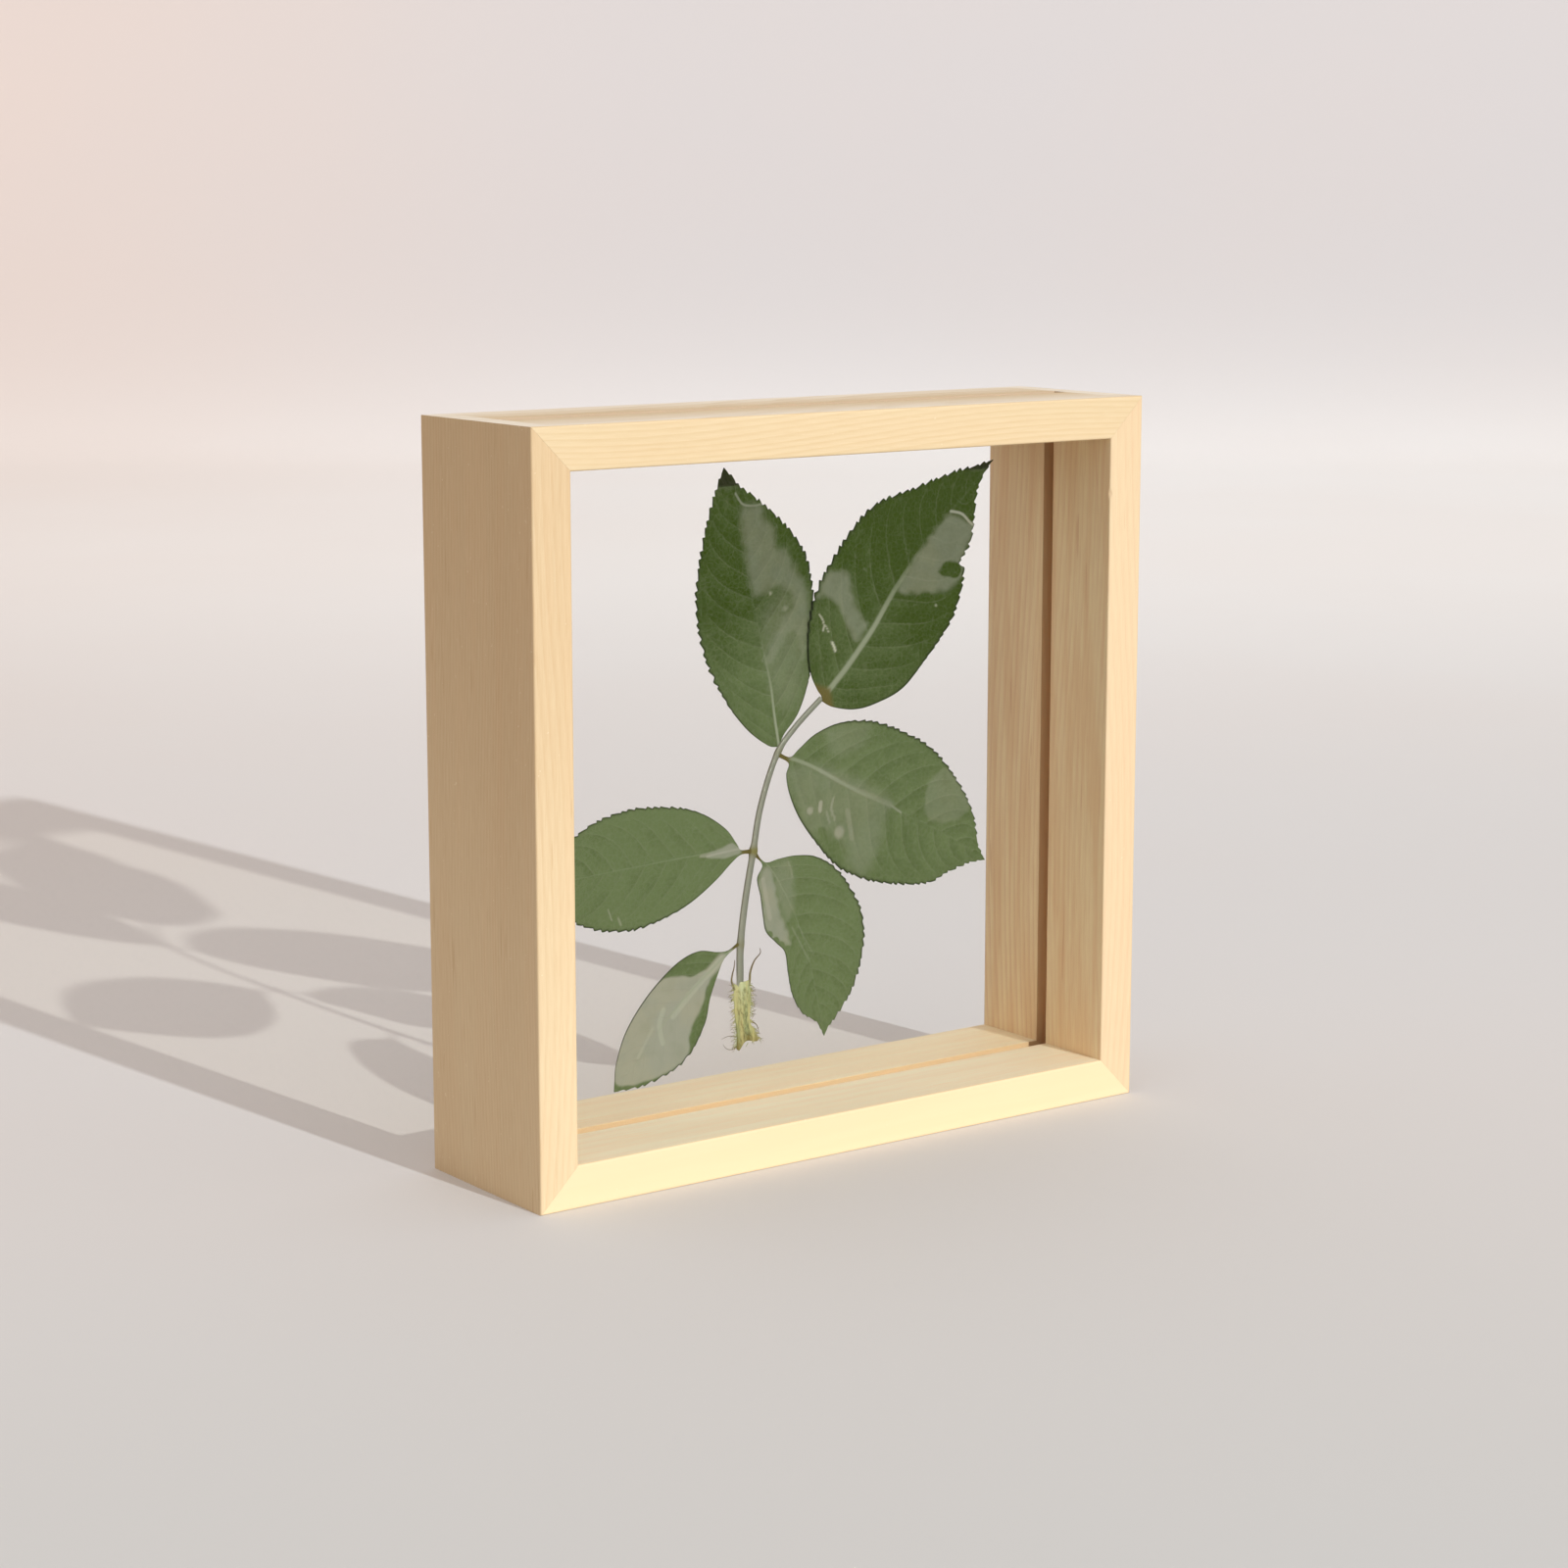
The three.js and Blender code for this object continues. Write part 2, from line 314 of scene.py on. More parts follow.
def makeStudio():
    # A flat floor that runs back, turns up in a quarter circle and goes on as a wall.
    radius, back = studio["sweepRadius"], studio["floorBack"]
    turn = np.radians(np.linspace(0, 90, 25))
    flat = np.linspace(-studio["floorFront"], back, 12)
    y = np.concatenate([flat, back + radius * np.sin(turn[1:]), [back + radius]])
    z = np.concatenate([0 * flat, radius * (1 - np.cos(turn[1:])), [studio["wallHeight"]]])
    x = np.linspace(-studio["floorSide"], studio["floorSide"], 13)
    points = np.stack([np.tile(x, len(y)), np.repeat(y, len(x)), np.repeat(z, len(x))], axis=-1)
    # the sweep faces the camera, so it is turned round the object as the camera is
    turned = points @ np.array(Matrix.Rotation(math.radians(view["azimuth"]), 3, "Z")).T
    floor = makePiece("floor", turned, gridFaces(len(y), len(x)), floorMaterial())

    key = bpy.data.lights.new("key", "SUN")
    key.energy = studio["keyStrength"]
    key.color = linear(studio["keyColour"])[:3]
    key.angle = math.radians(studio["keySoftness"])
    lamp = bpy.data.objects.new("key", key)
    towards = directionTo(studio["keyTurn"], studio["keyHeight"])
    lamp.rotation_euler = towards.to_track_quat("Z", "Y").to_euler()
    scene.collection.objects.link(lamp)

    world = bpy.data.worlds.new("studio")
    world.use_nodes = True
    tree = world.node_tree
    background = tree.nodes["Background"]
    place = Shade(tree.nodes.new("ShaderNodeTexCoord").outputs["Generated"])
    height = place.parts()[2]
    sky = height.step(-0.05, 0.35).mix(linear(studio["lowColour"]), linear(studio["skyColour"]))
    tree.links.new(sky.socket, background.inputs["Color"])
    background.inputs["Strength"].default_value = studio["skyStrength"]
    scene.world = world


makeStudio()
print("floor and light made")


# Pine frame

pineFrame = {
    "size": 150 * mm,
    "depth": 40 * mm,
    "railWidth": 8.6 * mm,
    "edgeRadius": 0.5 * mm,
    "grooveWidth": 3.6 * mm,
    "grooveDepth": 3.2 * mm,
    "grooveEdgeRadius": 0.15 * mm,
    "mitreGap": 0.03 * mm,
    "sharpFrom": 40,  # degrees between two faces from which their edge is shaded sharp
    "paleWood": (233, 207, 165),
    "peachWood": (238, 188, 138),
    "fleckWood": (255, 240, 212),
    "roughness": 0.55,
    "nick": (130 * mm, 0.5 * mm, 0.55 * mm),  # its height on the right stile, how deep and how long it is
}

# Each rail's own cut of the wood: which axis the grain follows, where the heart of the tree lay (depth, and
# height or width), how far apart the rings are, how strong they show on the outer and on the inner faces,
# the rail's tone, how peachy its stripes are on both, how strongly light is painted on its inner face (on
# the top rail a painted sheen on its upper one), how much painted shade darkens it towards the top, and the
# colours of its rings, of its face with painted light and of its groove, which paints the groove's shade and
# warm bounced light.
rails = {
    "bottom_rail": {
        "turn": 0, "grain": "X", "heart": (0.3, -0.06), "rings": 3.3 * mm, "contrast": (0.06, 0.16),
        "tone": 1.02, "peach": (0.08, 0.12), "paintedLight": 1.0, "darker": 0.0,
        "ring": (250, 208, 160), "lit": (255, 246, 214), "groove": (250, 200, 146),
    },
    "left_stile": {
        "turn": 90, "grain": "Z", "heart": (0.3, 0.12), "rings": 0.9 * mm, "contrast": (0.2, 0.4),
        "tone": 0.975, "peach": (0.06, 0.2), "paintedLight": 0.0, "darker": 0.26,
        "ring": (200, 158, 108), "lit": (255, 240, 212), "groove": (196, 126, 78),
    },
    "top_rail": {
        "turn": 180, "grain": "X", "heart": (-0.05, -0.12), "rings": 1.15 * mm, "contrast": (0.22, 0.25),
        "tone": 0.97, "peach": (0.04, 0.2), "paintedLight": 0.9, "darker": 0.0,
        "ring": (208, 172, 116), "lit": (255, 246, 228), "groove": (206, 178, 146),
    },
    "right_stile": {
        "turn": -90, "grain": "Z", "heart": (0.19, 0.26), "rings": 1.1 * mm, "contrast": (0.2, 0.32),
        "tone": 0.97, "peach": (0.02, 0.3), "paintedLight": 1.0, "darker": 0.0,
        "ring": (222, 166, 124), "lit": (255, 234, 192), "groove": (255, 190, 140),
    },
}


def pineMaterial(name, rail):
    material, place = startMaterial(name + "Pine")
    x, y, z = place.parts()
    along, across = (x, z) if rail["grain"] == "X" else (z, x)
    stretch = (0.06, 1, 1) if rail["grain"] == "X" else (1, 1, 0.06)
    inside = attribute(place, "inner")
    contrast, peachy = (inside * (inner - outer) + outer
                        for outer, inner in (rail["contrast"], rail["peach"]))
    pale, ring, peach = (linear([c * rail["tone"] for c in colour])
                         for colour in (pineFrame["paleWood"], rail["ring"], pineFrame["peachWood"]))
    # year rings: how far a point is from the heart of the tree, with the heart's line slowly bending
    wobble = (place.noise(90, detail=3, stretch=stretch) - 0.5) * (2.6 * mm)
    drift = (along * 31).math("SINE") * (2.5 * mm)
    fromHeart = ((y - rail["heart"][0]) ** 2 + (across - rail["heart"][1] - drift) ** 2) ** 0.5 + wobble
    year = (fromHeart / rail["rings"]).math("FRACT")
    late = year.step(0.3, 0.9) * (1 - year.step(0.93, 1.0))
    fibre = place.noise(2600, detail=4, roughness=0.6, stretch=stretch)
    band = place.noise(90, detail=3, stretch=stretch)
    stripe = place.noise(330, detail=2, stretch=stretch, shift=(3, 5, 2))
    cloud = place.noise(14, detail=2)
    darkFleck = place.noise(900, detail=1, stretch=stretch).step(0.70, 0.76)
    paleFleck = place.noise(1100, detail=1, shift=(7, 1, 4)).step(0.76, 0.80)
    fade = place.noise(45, detail=2, stretch=stretch, shift=(2, 8, 5)).step(0.3, 0.7) * 0.7 + 0.3
    # painted shade: darker towards the top
    shadeTowardsTop = along.step(0.0, pineFrame["size"]) * rail["darker"]
    uneven = (fibre - 0.5) * 0.55 + (band - 0.5) * 0.3 + (cloud - 0.5) * 0.25
    depth = late * contrast * fade + uneven + shadeTowardsTop
    # painted light: inner faces lighter as if lit by light thrown back off the glass and the floor, and the
    # top rail's upper face with a painted sheen of the sky
    withPaintedLight = (attribute(place, "paintedLight") * rail["paintedLight"]).mix(pale, linear(rail["lit"]))
    wood = (depth + 0.1).limit().mix(withPaintedLight, ring)
    striped = (stripe.step(0.4, 0.62) * peachy).mix(wood, peach)
    flecked = (paleFleck * 0.3).mix((darkFleck * 0.35).mix(striped, ring), linear(pineFrame["fleckWood"]))
    # painted shade and warm bounced light in the groove and the slot
    colour = attribute(place, "groove").mix(flecked, linear(rail["groove"]))
    relief = fibre * 0.6 + late * 0.4
    rough = (fibre - 0.5) * 0.25 + pineFrame["roughness"]
    return finishMaterial(material, coated(place, colour, rough, 0.45, relief, 0.35, 0.06 * mm))


def roundedSection(corners):
    # A closed outline through its corners, each rounded by an arc of its own radius in a few steps.
    # A point just outside each end of the arc keeps the shading of the flats flat.
    outline = []
    places = np.array([corner[:2] for corner in corners], float)
    for k, (*_, radius) in enumerate(corners):
        here = places[k]
        before = unit(places[k - 1] - here)
        after = unit(places[(k + 1) % len(places)] - here)
        t = np.linspace(0, 1, 7)[:, None]
        arc = here + radius * ((1 - t) ** 2 * before + t**2 * after)
        outline += [[here + 1.4 * radius * before], arc, [here + 1.4 * radius * after]]
    return np.vstack(outline)


def railOutline():
    half, width = pineFrame["depth"] / 2, pineFrame["railWidth"]
    groove, floor = pineFrame["grooveWidth"] / 2, width - pineFrame["grooveDepth"]
    edge, small = pineFrame["edgeRadius"], pineFrame["grooveEdgeRadius"]
    return roundedSection([
        (-half, 0, edge), (half, 0, edge), (half, width, edge),
        (groove, width, small), (groove, floor, small), (-groove, floor, small), (-groove, width, small),
        (-half, width, edge),
    ])


def makeRail(name, rail):
    # The section carried along the rail. Every point keeps its share of the way between the two mitres.
    outline = railOutline()
    shares = np.linspace(-1, 1, 301)
    depth, inward = outline[:, 0], outline[:, 1]
    reach = pineFrame["size"] / 2 - inward - pineFrame["mitreGap"] / 2
    section = np.broadcast_arrays(shares[:, None] * reach, depth, inward - pineFrame["size"] / 2)
    points = np.stack(section, axis=-1)
    turned = points.reshape(-1, 3) @ np.array(Matrix.Rotation(math.radians(rail["turn"]), 3, "Y")).T
    turned[:, 2] += pineFrame["size"] / 2
    if name == "right_stile":
        # a small chip out of the front edge towards the glass
        height, deep, long = pineFrame["nick"]
        chip = np.exp(-(((turned[:, 2] - height) / long) ** 2))
        side, front = pineFrame["railWidth"], pineFrame["depth"] / 2
        corner = ramp(inward, side - 1 * mm, side) * ramp(-depth, front - 0.55 * mm, front - 0.05 * mm)
        turned[:, 0] += deep * chip * np.tile(corner, len(shares))
    faces = tubeFaces(len(shares), len(outline))
    # the groove's floor takes more of the groove's colour, painted shade and warm bounced light, than its
    # walls
    inGroove = np.abs(depth) < pineFrame["grooveWidth"] / 2 + 0.01 * mm
    deepest = inward < pineFrame["railWidth"] - pineFrame["grooveDepth"] + 0.16 * mm
    inGroove = inGroove * (inward > 0.5 * pineFrame["railWidth"]) * np.where(deepest, 0.9, 0.2)
    onInside = inward > pineFrame["railWidth"] - 0.01 * mm
    # the faces that get painted light: the inner face, on the top rail its upper face
    paintedLight = inward < 0.01 * mm if name == "top_rail" else onInside
    values = {key: np.tile(share.astype(float), len(shares))
              for key, share in (("groove", inGroove), ("inner", onInside), ("paintedLight", paintedLight))}
    piece = makePiece(name + "_wood", turned, faces, pineMaterial(name, rail), values)
    piece.data.set_sharp_from_angle(angle=math.radians(pineFrame["sharpFrom"]))
    return piece


def cutSlot(piece):
    # Cuts the slot for the glass through the top rail.
    slotLength = pineFrame["size"] - 2 * (pineFrame["railWidth"] - pineFrame["grooveDepth"])
    half = np.array([slotLength, pineFrame["grooveWidth"], 2 * pineFrame["railWidth"]]) / 2
    signs = np.array([[x, y, z] for x in (-1, 1) for y in (-1, 1) for z in (-1, 1)])
    points = signs * half + [0, 0, pineFrame["size"]]
    faces = [[0, 1, 3, 2], [4, 6, 7, 5], [0, 4, 5, 1], [2, 3, 7, 6], [0, 2, 6, 4], [1, 5, 7, 3]]
    blank = {key: np.zeros(len(points)) for key in ("inner", "paintedLight")}
    cutter = makePiece("slotCutter", points, faces, piece.data.materials[0], blank, smooth=False)
    cut = piece.modifiers.new("slot", "BOOLEAN")
    cut.operation = "DIFFERENCE"
    cut.solver = "EXACT"
    cut.object = cutter
    result = bpy.data.meshes.new_from_object(piece.evaluated_get(bpy.context.evaluated_depsgraph_get()))
    # the cut's new walls take the groove's colour, a painted shade, face by face, so that it stops at the
    # edge
    centres = np.empty(3 * len(result.polygons))
    result.polygons.foreach_get("center", centres)
    y, z = centres.reshape(-1, 3).T[1:]
    walls = (np.abs(y) < half[1] + 0.01 * mm) & (z < pineFrame["size"] - 0.05 * mm)
    result.attributes.remove(result.attributes["groove"])
    result.attributes.new("groove", "FLOAT", "FACE").data.foreach_set("value", walls.astype(float))
    piece.modifiers.clear()
    piece.data = result
    bpy.data.objects.remove(cutter)


for railName, railFacts in rails.items():
    railPiece = makeRail(railName, railFacts)
    if railName == "top_rail":
        cutSlot(railPiece)
    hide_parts(railName)
    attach(railPiece, "frame")
print("pine rails made")


# Glass

panes = {
    "width": 138.6 * mm,
    "thickness": 1.2 * mm,
    "spacing": 0.9 * mm,
    "bottom": 5.5 * mm,
    "top": 149.5 * mm,
    "arris": 0.15 * mm,
    "cornerRadius": 0.6 * mm,
    "refraction": 1.2,
    "tint": (226, 240, 232),
    "absorption": 6.0,
    "dimming": (0.95, 0.935, 0.905),
}


def glassMaterial():
    # Clear glass that bends what the camera sees, and lets the light of the lamps and of other surfaces
    # straight through. Its green only shows in the long edges.
    material, place = startMaterial("clearGlass")
    clear = place.node("ShaderNodeBsdfPrincipled", {}, {
        "Base Color": (1, 1, 1, 1),
        "Roughness": 0.0,
        "IOR": panes["refraction"],
        "Transmission Weight": 1.0,
    })
    through = place.node("ShaderNodeBsdfTransparent", {}, {"Color": (*panes["dimming"], 1)})
    ray = place.node("ShaderNodeLightPath", {}, {}, output="Is Shadow Ray")
    lampsPass = place.node("ShaderNodeMixShader", {}, {0: ray, 1: clear, 2: through})
    bounced = ray.output("Is Diffuse Ray")
    shader = place.node("ShaderNodeMixShader", {}, {0: bounced, 1: lampsPass, 2: through})
    volume = place.node("ShaderNodeVolumeAbsorption", {}, {
        "Color": linear(panes["tint"]), "Density": panes["absorption"]})
    return finishMaterial(material, shader, volume)


def makePane(name, middle, material):
    # Loops round the pane's edge: the front face's rim, two loops of the ground edge, the back face's rim.
    side, bottom, top = panes["width"] / 2, panes["bottom"], panes["top"]
    corners = (-side, bottom), (side, bottom), (side, top), (-side, top)
    outline = roundedSection([(*corner, panes["cornerRadius"]) for corner in corners])
    centre = np.array([0, (bottom + top) / 2])
    arris, half = panes["arris"], panes["thickness"] / 2
    loops = []
    for inset, depth in ((arris, -half), (0, arris - half), (0, half - arris), (arris, half)):
        shrunk = outline - np.sign(outline - centre) * inset
        loops.append(np.stack([shrunk[:, 0], np.full(len(outline), middle + depth), shrunk[:, 1]], axis=-1))
    faces = [face[::-1] for face in tubeFaces(len(loops), len(outline))]
    piece = makePiece(name + "_glass", np.vstack(loops), faces, material, smooth=False)
    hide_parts(name)
    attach(piece, "glazing")
    return piece


paneOffset = (panes["spacing"] + panes["thickness"]) / 2
clearGlass = glassMaterial()
makePane("front_pane", -paneOffset, clearGlass)
makePane("back_pane", paneOffset, clearGlass)
print("glass made")


# Pressed leaf

leafBlade = {
    "frontLayer": -0.26 * mm,
    "backLayer": 0.26 * mm,
    "thickness": 0.18 * mm,
    "marginThickness": 0.08 * mm,
    "toothLean": 0.84,
    "rowSpacing": 0.22 * mm,
    "columnsPerSide": 46,
    "ribHeight": 0.1 * mm,
    "veinWidth": 0.3 * mm,
    "veinHeight": 0.03 * mm,
    "sink": 0.08 * mm,
    "deepGreen": (48, 65, 8),
    "freshGreen": (93, 107, 69),
    "paleGreen": (145, 145, 127),
    "coolGreen": (141, 143, 128),
    "marginGreen": (30, 38, 14),
    "palestColour": (190, 196, 172),
    "ribColour": (142, 148, 126),
    "stalkColour": (92, 84, 42),
}

# Points x, z in millimetres in the plane of the glass, one after another. Left and right are as seen from
# the front, from the base to the tip. tone: how fresh the green is at the base and at the tip. rib: how
# wide the midrib is, how pale at its base and at its end, and where it ends. plain: how far the left and the
# right margin go without teeth. teeth: their spacing and depth. A patch has a strength, a softness and its
# outline, a spot its place, radius and strength, a streak its line, half width and strength. Where their
# strength is positive they are a painted pale sheen, where the leaf stands off the glass.
leaflets = {
    "leaflet_upper_left": {
        "layer": "backLayer", "base": [-4.4, 81.2], "tip": [-17.8, 138.4], "stalkWidth": 0.8, "veins": 12,
        "teeth": (2.1, 0.65), "plain": (18, 18), "tone": (0.75, 0.05), "rib": (0.6, 0.9, 0.05, 0.42),
        "left": [-7.2, 81.6, -12.3, 85.3, -17.5, 91.5, -22, 99.5, -24.3, 108, -24.3, 116, -22.3, 126,
            -20, 133],
        "right": [-3, 83.5, 0.5, 87.5, 3, 93.5, 4.5, 101, 4.3, 110, 2.8, 118.5, -1.2, 124.5, -7.5, 130,
            -14, 134.5],
        "middle": [-5.5, 87.5, -6.5, 94, -8.5, 102, -10.5, 110, -12.3, 118, -13.6, 127],
        "patches": [
            [0.36, 1.4, -13.2, 130.5, -13.5, 127, -12.7, 122, -12.2, 118, -11.2, 114, -9.5, 112,
             -6.5, 113.5, -3, 113, -1, 110, -4.5, 106.5, -8, 99, -5.5, 98.5, -1, 104, 1.5, 98, 3, 104,
             3.2, 109, 2.2, 113.5, 0, 116.5, -2.5, 120.5, -5.2, 122, -5.5, 125.5, -8, 127.5, -8.8, 130.3],
            # painted light: lifts the tip out of the top rail's shadow
            [0.1, 0.8, -22, 134.2, -17.8, 140, -12, 134.4],
            [0.18, 2.5, -9, 109, -2, 113, 2, 100, 0, 90, -5, 90, -8, 100],
        ],
        "spots": [[-6.5, 112.5, 0.5, 0.8], [-2.8, 109.2, 0.7, 0.5]],
        "streaks": [[-15, 133, -13.2, 130.8, -10.5, 130.4, -8.8, 130.6, 0.3, 0.6],
            [0, 112.5, -5, 106, -8.5, 99, 0.35, 0.25]],
    },
    "leaflet_upper_right": {
        "layer": "frontLayer", "base": [6.2, 90], "tip": [51, 136.6], "stalkWidth": 1.1, "veins": 12,
        "teeth": (2.1, 0.7), "plain": (16, 36), "tone": (0.32, -0.15), "rib": (1.4, 0.76, 0.05, 0.66),
        "left": [5, 92, 3.2, 96, 2.7, 102, 3.5, 108, 5.5, 113.5, 10, 119.8, 15, 125.3, 20.5, 129.2,
            30, 131.7, 40, 134.4, 47, 135.6],
        "right": [9, 88, 14.5, 87, 20, 87.7, 27, 90.2, 33, 95.7, 38.8, 102, 41.8, 107.5, 43.2, 113.6,
            41.8, 115.3, 44.4, 118.8, 45.8, 124, 46.3, 129.5, 48.6, 134.2],
        "middle": [10, 93.6, 13.5, 97, 19.3, 103.5, 24.5, 110.5, 30, 117, 34.5, 122, 39.8, 126.5],
        "patches": [
            # painted light: lifts the tip out of the top rail's shadow
            [0.1, 0.6, 42, 135, 52, 138.5, 50, 134.6],
            [0.42, 0.8, 39.5, 126.2, 46, 122.8, 45, 121, 44, 118.5, 42.5, 116, 43, 114, 42, 112, 38.5, 110,
             32.5, 110, 26, 110.8, 30, 116.7, 35, 122.2],
            [0.42, 1.0, 5, 111, 7, 115.3, 10, 116, 13, 114.8, 13.7, 112, 14.5, 109, 16.2, 106, 17.8, 104,
             15, 101.3, 13.5, 102.5, 12, 106, 9.5, 109.5, 7, 110.8],
            [-0.6, 0.5, 36.3, 113.8, 38.5, 115.7, 41, 115.4, 42.3, 114, 41, 112.6, 38, 113.2],
            [-0.3, 1.5, 3.5, 108, 8, 109.5, 12, 103, 13, 99, 8, 97, 4, 101],
        ],
        "spots": [[5.2, 105.2, 0.6, -0.8], [7.9, 104.6, 0.5, -0.7], [17.2, 115.6, 0.4, 0.3],
            [35.8, 107, 0.3, 0.8]],
        "streaks": [[39.6, 126.4, 42.5, 125.7, 44.5, 124, 46, 122.9, 0.35, 1.0],
            [5.5, 107.3, 6.2, 106.4, 6.6, 105.3, 6.4, 104, 0.2, 1.3],
            [6.6, 105.3, 7.3, 104.6, 7.8, 103.6, 0.16, 1.2],
            [8.7, 101.4, 9.3, 100.3, 9.5, 99.6, 0.34, 1.5]],
    },
    "leaflet_middle_right": {
        "layer": "frontLayer", "base": [-4.6, 79.4], "tip": [49.8, 51.2], "stalkWidth": 0.9, "veins": 12,
        "teeth": (2.0, 0.5), "plain": (22, 26), "tone": (0.85, 0.78), "rib": (0.8, 0.6, 0.05, 0.55),
        "left": [-1.8, 78.7, 0.5, 80.2, 5, 83, 11.5, 84.6, 20, 83.9, 29.5, 80.1, 36, 76, 41.8, 69.5,
            45.8, 63, 47.3, 57.7, 47.8, 54.6],
        "right": [-2.2, 77.4, -2.8, 75, -2, 71, 0.5, 65.8, 4.5, 60.5, 10, 54.8, 17, 51.2, 25, 49.1,
            34, 48.2, 40, 50, 45.5, 51.2],
        "middle": [0, 77.8, 4.5, 75.8, 9, 73.3, 15, 70, 21, 67.2, 27, 64.1, 38, 58.5],
        "patches": [
            [0.24, 1.8, -2.5, 77, 4.7, 76.6, 11.3, 74.4, 16.3, 72, 20.7, 69.3, 24.3, 66.3, 22.5, 63.3,
             21.8, 59.3, 19.7, 54.7, 16.3, 52, 13, 54.7, 12.5, 58, 9, 61.3, 5.7, 62, 2.5, 63, -0.5, 69.3,
             -2.9, 75],
            [0.24, 0.5, 38, 72.2, 42.3, 71, 45.5, 66, 44.5, 62, 39, 60.6, 34.5, 61.8, 33.2, 65.5,
             34.5, 69.8],
            [0.18, 1.5, 7, 83.5, 18, 84, 16.5, 79, 9, 78],
        ],
        "spots": [[3.2, 67, 0.9, 0.85], [10.7, 61.7, 1.5, 0.8], [6.2, 62.4, 0.9, -1.6],
            [6.7, 61.4, 0.8, -1.4], [2.9, 80.2, 0.9, -1.5], [3, 79, 0.8, -1.4]],
        "streaks": [[6, 75, 14, 70.7, 24, 66, 0.9, 0.4], [24, 66, 26.8, 64.1, 0.3, 0.5],
            [5.9, 68.4, 5.7, 66.8, 0.6, 1.0], [9.2, 69, 8.6, 66.8, 9.6, 64.6, 0.4, 0.6],
            [7.4, 66.2, 8.2, 64, 0.4, 0.55], [12.8, 66, 14, 60, 0.8, 0.5]],
    },
    "leaflet_middle_left": {
        "layer": "frontLayer", "base": [-11.7, 60.3], "tip": [-65.4, 58.8], "stalkWidth": 0.95, "veins": 11,
        "teeth": (2.0, 0.5), "plain": (26, 20), "tone": (1.0, 1.0), "rib": (0.35, 0.2, 0.15, 0.7),
        "left": [-14.2, 59.9, -16.5, 58.5, -20.5, 55.3, -26.5, 51.6, -32.5, 49.3, -40, 47.8, -47, 48.4,
            -53, 50.4, -60, 54.6],
        "right": [-14.2, 60.9, -15.2, 62.2, -18, 65.7, -23.5, 69.3, -30, 71.3, -40, 72.1, -48, 70.8,
            -53, 68.6, -60, 63.8],
        "middle": [-17.3, 61.3, -24.7, 61.1, -30.7, 60.9, -40.7, 60.4, -50.7, 59.9],
        "patches": [
            [0.75, 0.3, -16.3, 62.7, -14.1, 60.5, -17.3, 59.7, -21.3, 60, -24.5, 60.8, -20.7, 61.5],
        ],
        "spots": [],
        "streaks": [[-14.6, 61.2, -18.5, 60.9, -22.5, 60.6, 0.4, 1.1], [-45.6, 50.4, -46.4, 52.6, 0.2, 0.5],
            [-43.4, 49.2, -44, 50.6, 0.3, 0.5]],
    },
    "leaflet_lower_right": {
        "layer": "backLayer", "base": [-10.3, 59.5], "tip": [7.3, 18.8], "stalkWidth": 0.95, "veins": 11,
        "teeth": (2.0, 0.5), "plain": (22, 40), "tone": (1.0, 0.95), "rib": (0.4, 0.25, 0.1, 0.5),
        "left": [-7.9, 57.4, -4.5, 57.8, 0, 58, 5, 57.2, 10, 54.3, 13.7, 50, 16.8, 44.5, 17.6, 39, 16.6, 33,
            14.3, 27.5, 11, 23.4, 8.5, 20.8],
        "right": [-8.5, 57, -9.8, 54.3, -9, 50.5, -8.4, 46.5, -7.6, 43, -5, 40.3, -2.8, 38, -2, 33.5,
            -0.8, 28.5, 1.7, 24.6, 5.5, 22],
        "middle": [-6.5, 56, -3.5, 51.5, -0.5, 46, 2.5, 38.5, 5, 29],
        "patches": [
            [0.75, 0.8, -9.2, 55.2, -7.4, 56.9, -6.2, 55, -4.8, 50, -3.6, 45.2, -2.2, 42, -1.4, 39.4,
             -4.8, 40.8, -7.2, 42.6, -8.4, 46, -8.7, 50, -9.5, 53],
            [0.28, 1.2, -6.4, 56.5, -2, 57.4, -0.6, 52, -0.8, 46, -2.6, 45, -5, 50],
            [-0.25, 1.2, -1, 45, 3, 42, 5, 36, 1.5, 35, -1, 40],
        ],
        "spots": [[-2.4, 38.5, 0.9, -1.3], [-3.8, 39.5, 0.9, -1.4], [-5.2, 40.7, 0.9, -1.4],
            [-6.7, 42.2, 0.8, -1.3]],
        "streaks": [[-8.4, 54, -7.4, 49, -6.6, 45.6, 0.8, 1.0], [-2, 56.8, -1.3, 55, -1, 53.5, 0.35, 0.4],
            [-1, 43, 1, 39.5, 3, 36, 0.25, 0.25], [0.4, 43.4, 2.6, 39.6, 4.4, 36.6, 0.2, 0.2]],
    },
    "leaflet_lower_left": {
        "layer": "frontLayer", "base": [-14.9, 41.5], "tip": [-45.4, 15.3], "stalkWidth": 0.7, "veins": 11,
        "teeth": (2.3, 0.5), "plain": (24, 90), "tone": (0.8, 0.8), "rib": (0.6, 0.75, 0.25, 0.75),
        "left": [-17.4, 39.7, -19.2, 37.5, -21.8, 31.5, -23, 26.7, -25.5, 22.2, -28.7, 18.9, -33, 16.9,
            -38.5, 15.6, -42.5, 15.4],
        "right": [-17.4, 40.5, -20, 40.5, -24.7, 41.3, -29.5, 39.8, -35, 35.9, -39.5, 31.3, -42.8, 26.5,
            -44.8, 21, -45.2, 18],
        "middle": [-18.6, 39.3, -21.5, 37.2, -25.6, 34.3, -32, 28.8, -39, 21.5],
        "patches": [
            [1.0, 0.4, -33.3, 37, -29.5, 36.8, -26, 36.4, -20.8, 38.2, -18.6, 39.2, -20.3, 37.2, -22.6, 34,
             -23.8, 30, -25.8, 27.2, -27.2, 23.6, -27.2, 20.4, -30.8, 17.9, -38, 16.3, -44.5, 16.6,
